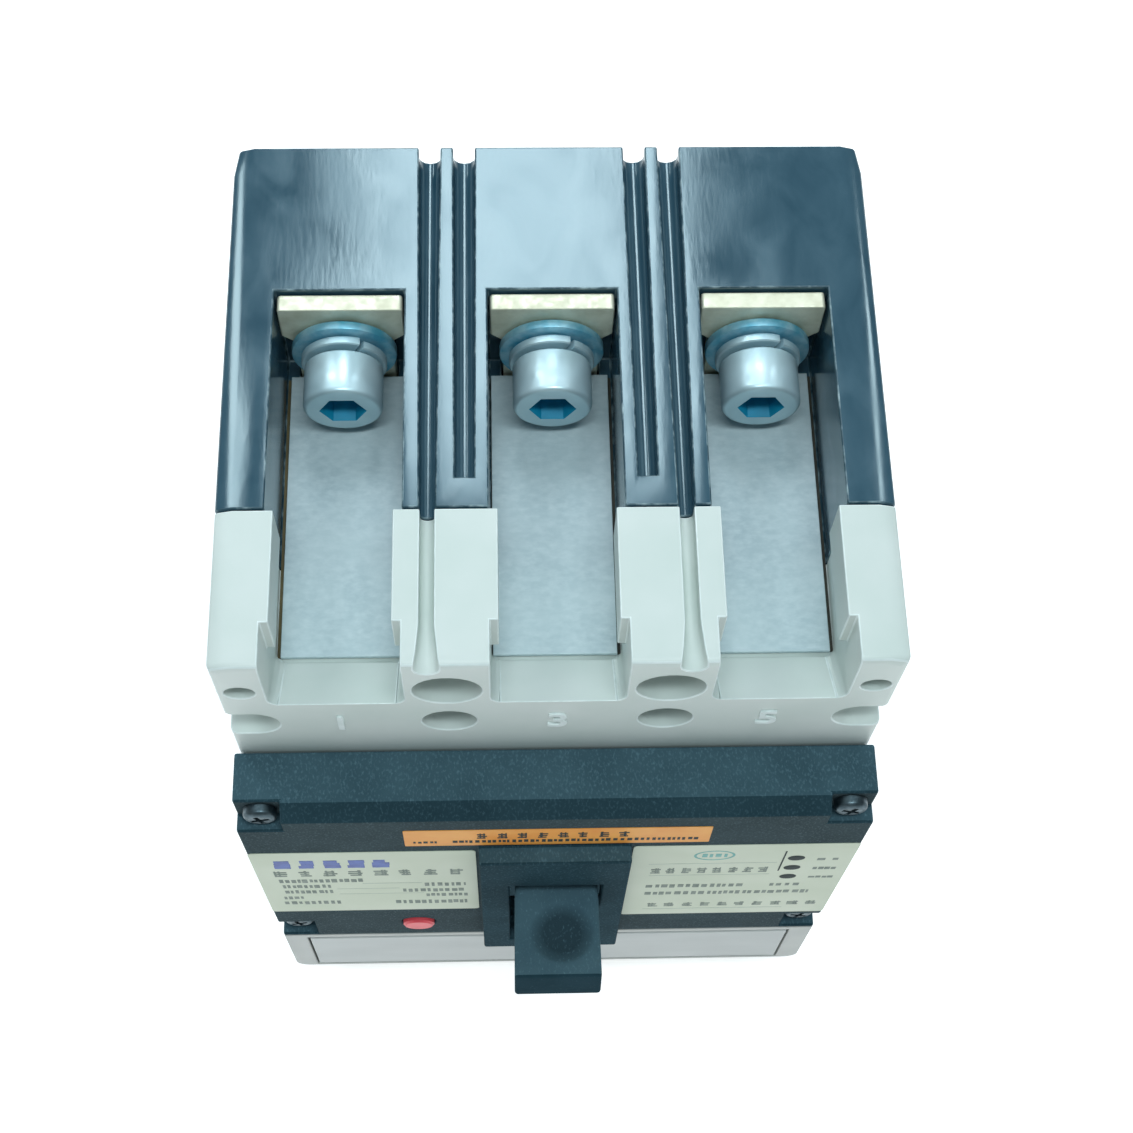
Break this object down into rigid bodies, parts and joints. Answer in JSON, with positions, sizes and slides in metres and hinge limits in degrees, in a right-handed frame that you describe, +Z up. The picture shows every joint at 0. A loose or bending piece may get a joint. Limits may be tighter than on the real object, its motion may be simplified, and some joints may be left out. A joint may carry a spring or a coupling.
{
  "type": "molded case circuit breaker",
  "caption": "Panel-mounted power circuit breaker: dark moulded base with screw terminals, pale cover, black front with toggle handle.",
  "frame": {"origin": "centre of the flat back that is fixed to the panel", "axes": "+Z up, to the line end; +X to the right when facing the breaker; the front faces -Y"},
  "size_m": [0.108, 0.1274, 0.165],
  "materials": {
    "base_plastic": "glossy moulded thermoset, dark slate",
    "cover_plastic": "satin moulded plastic, pale grey",
    "front_plastic": "spark-textured moulded plastic, black",
    "red_plastic": "moulded plastic, red",
    "panel_plastic": "satin moulded plastic, light grey",
    "clear_plastic": "clear moulded plastic",
    "dial_plastic": "moulded plastic, dark blue-grey",
    "insulator": "brown moulded insulation",
    "vent_board": "light grey insulating board",
    "zinc": "bright zinc plating",
    "tinned_copper": "tin-plated copper",
    "copper": "bare copper with silver contacts",
    "spring_steel": "plain steel"
  },
  "bodies": {
    "case": {"arc_chute_1": "spring_steel", "arc_chute_3": "spring_steel", "arc_chute_5": "spring_steel", "base_case": "base_plastic", "case_screw_line_left": "zinc", "case_screw_line_right": "zinc", "case_screw_load_left": "zinc", "case_screw_load_right": "zinc", "cover_screw_lower_left": "zinc", "cover_screw_lower_right": "zinc", "cover_screw_upper_left": "zinc", "cover_screw_upper_right": "zinc", "front_cover": "front_plastic", "line_screw_1": "zinc", "line_screw_3": "zinc", "line_screw_5": "zinc", "line_spring_washer_1": "zinc", "line_spring_washer_3": "zinc", "line_spring_washer_5": "zinc", "line_terminal_1": "tinned_copper", "line_terminal_3": "tinned_copper", "line_terminal_5": "tinned_copper", "line_washer_1": "zinc", "line_washer_3": "zinc", "line_washer_5": "zinc", "load_screw_2": "zinc", "load_screw_4": "zinc", "load_screw_6": "zinc", "load_spring_washer_2": "zinc", "load_spring_washer_4": "zinc", "load_spring_washer_6": "zinc", "load_terminal_2": "tinned_copper", "load_terminal_4": "tinned_copper", "load_terminal_6": "tinned_copper", "load_washer_2": "zinc", "load_washer_4": "zinc", "load_washer_6": "zinc", "mechanism_frame": "zinc", "mid_cover": "cover_plastic", "trip_button_spring": "spring_steel", "trip_unit_module": "insulator", "trip_unit_panel": "panel_plastic", "vent_plate_1": "vent_board", "vent_plate_3": "vent_board", "vent_plate_5": "vent_board"},
    "handle": {"toggle_handle": "front_plastic", "dust_shield": "front_plastic", "handle_yoke": "spring_steel", "main_spring": "spring_steel"},
    "crossbar": {"crossbar": "insulator", "contact_arm_1": "copper", "contact_arm_3": "copper", "contact_arm_5": "copper"},
    "trip_button": {"trip_button": "red_plastic"},
    "trip_bar": {"trip_bar": "insulator"},
    "latch_cradle": {"latch_cradle": "spring_steel"},
    "window": {"trip_unit_window": "clear_plastic"},
    "current_dial": {"current_dial": "dial_plastic"},
    "delay_dial": {"delay_dial": "dial_plastic"},
    "instantaneous_dial": {"instantaneous_dial": "dial_plastic"}
  },
  "joints": [
    {"name": "handle_pivot", "type": "hinge", "parent": "case", "child": "handle", "pos_m": [0, -0.063, -0.008], "axis": [1, 0, 0], "range_deg": [0, 27], "deforming": ["main_spring"]},
    {"name": "crossbar_pivot", "type": "hinge", "parent": "case", "child": "crossbar", "pos_m": [0, -0.036, -0.008], "axis": [1, 0, 0], "range_deg": [0, 30]},
    {"name": "trip_button_push", "type": "slide", "parent": "case", "child": "trip_button", "axis": [0, 1, 0], "range_m": [0, 0.0025], "stiffness_N_per_m": 400, "springref_m": -0.002, "deforming": ["trip_button_spring"]},
    {"name": "trip_bar_pivot", "type": "hinge", "parent": "case", "child": "trip_bar", "pos_m": [0, -0.076, -0.034], "axis": [1, 0, 0], "range_deg": [-23, 0]},
    {"name": "latch_cradle_pivot", "type": "hinge", "parent": "case", "child": "latch_cradle", "pos_m": [0.006, -0.066, 0.01], "axis": [1, 0, 0], "range_deg": [-12, 0]},
    {"name": "window_hinge", "type": "hinge", "parent": "case", "child": "window", "pos_m": [0, -0.1062, -0.04], "axis": [-1, 0, 0], "range_deg": [0, 95]},
    {"name": "current_dial_turn", "type": "hinge", "parent": "case", "child": "current_dial", "pos_m": [-0.03, -0.1, -0.0505], "axis": [0, -1, 0], "range_deg": [-120, 120]},
    {"name": "delay_dial_turn", "type": "hinge", "parent": "case", "child": "delay_dial", "pos_m": [0, -0.1, -0.0505], "axis": [0, -1, 0], "range_deg": [-120, 120]},
    {"name": "instantaneous_dial_turn", "type": "hinge", "parent": "case", "child": "instantaneous_dial", "pos_m": [0.03, -0.1, -0.0505], "axis": [0, -1, 0], "range_deg": [-120, 120]}
  ],
  "couplings": [
    {"joint": "crossbar_pivot", "follows": "handle_pivot", "ratio": 1.1},
    {"joint": "trip_bar_pivot", "follows": "trip_button_push", "rad_per_m": -153.6},
    {"joint": "latch_cradle_pivot", "follows": "trip_button_push", "rad_per_m": -80}
  ]
}
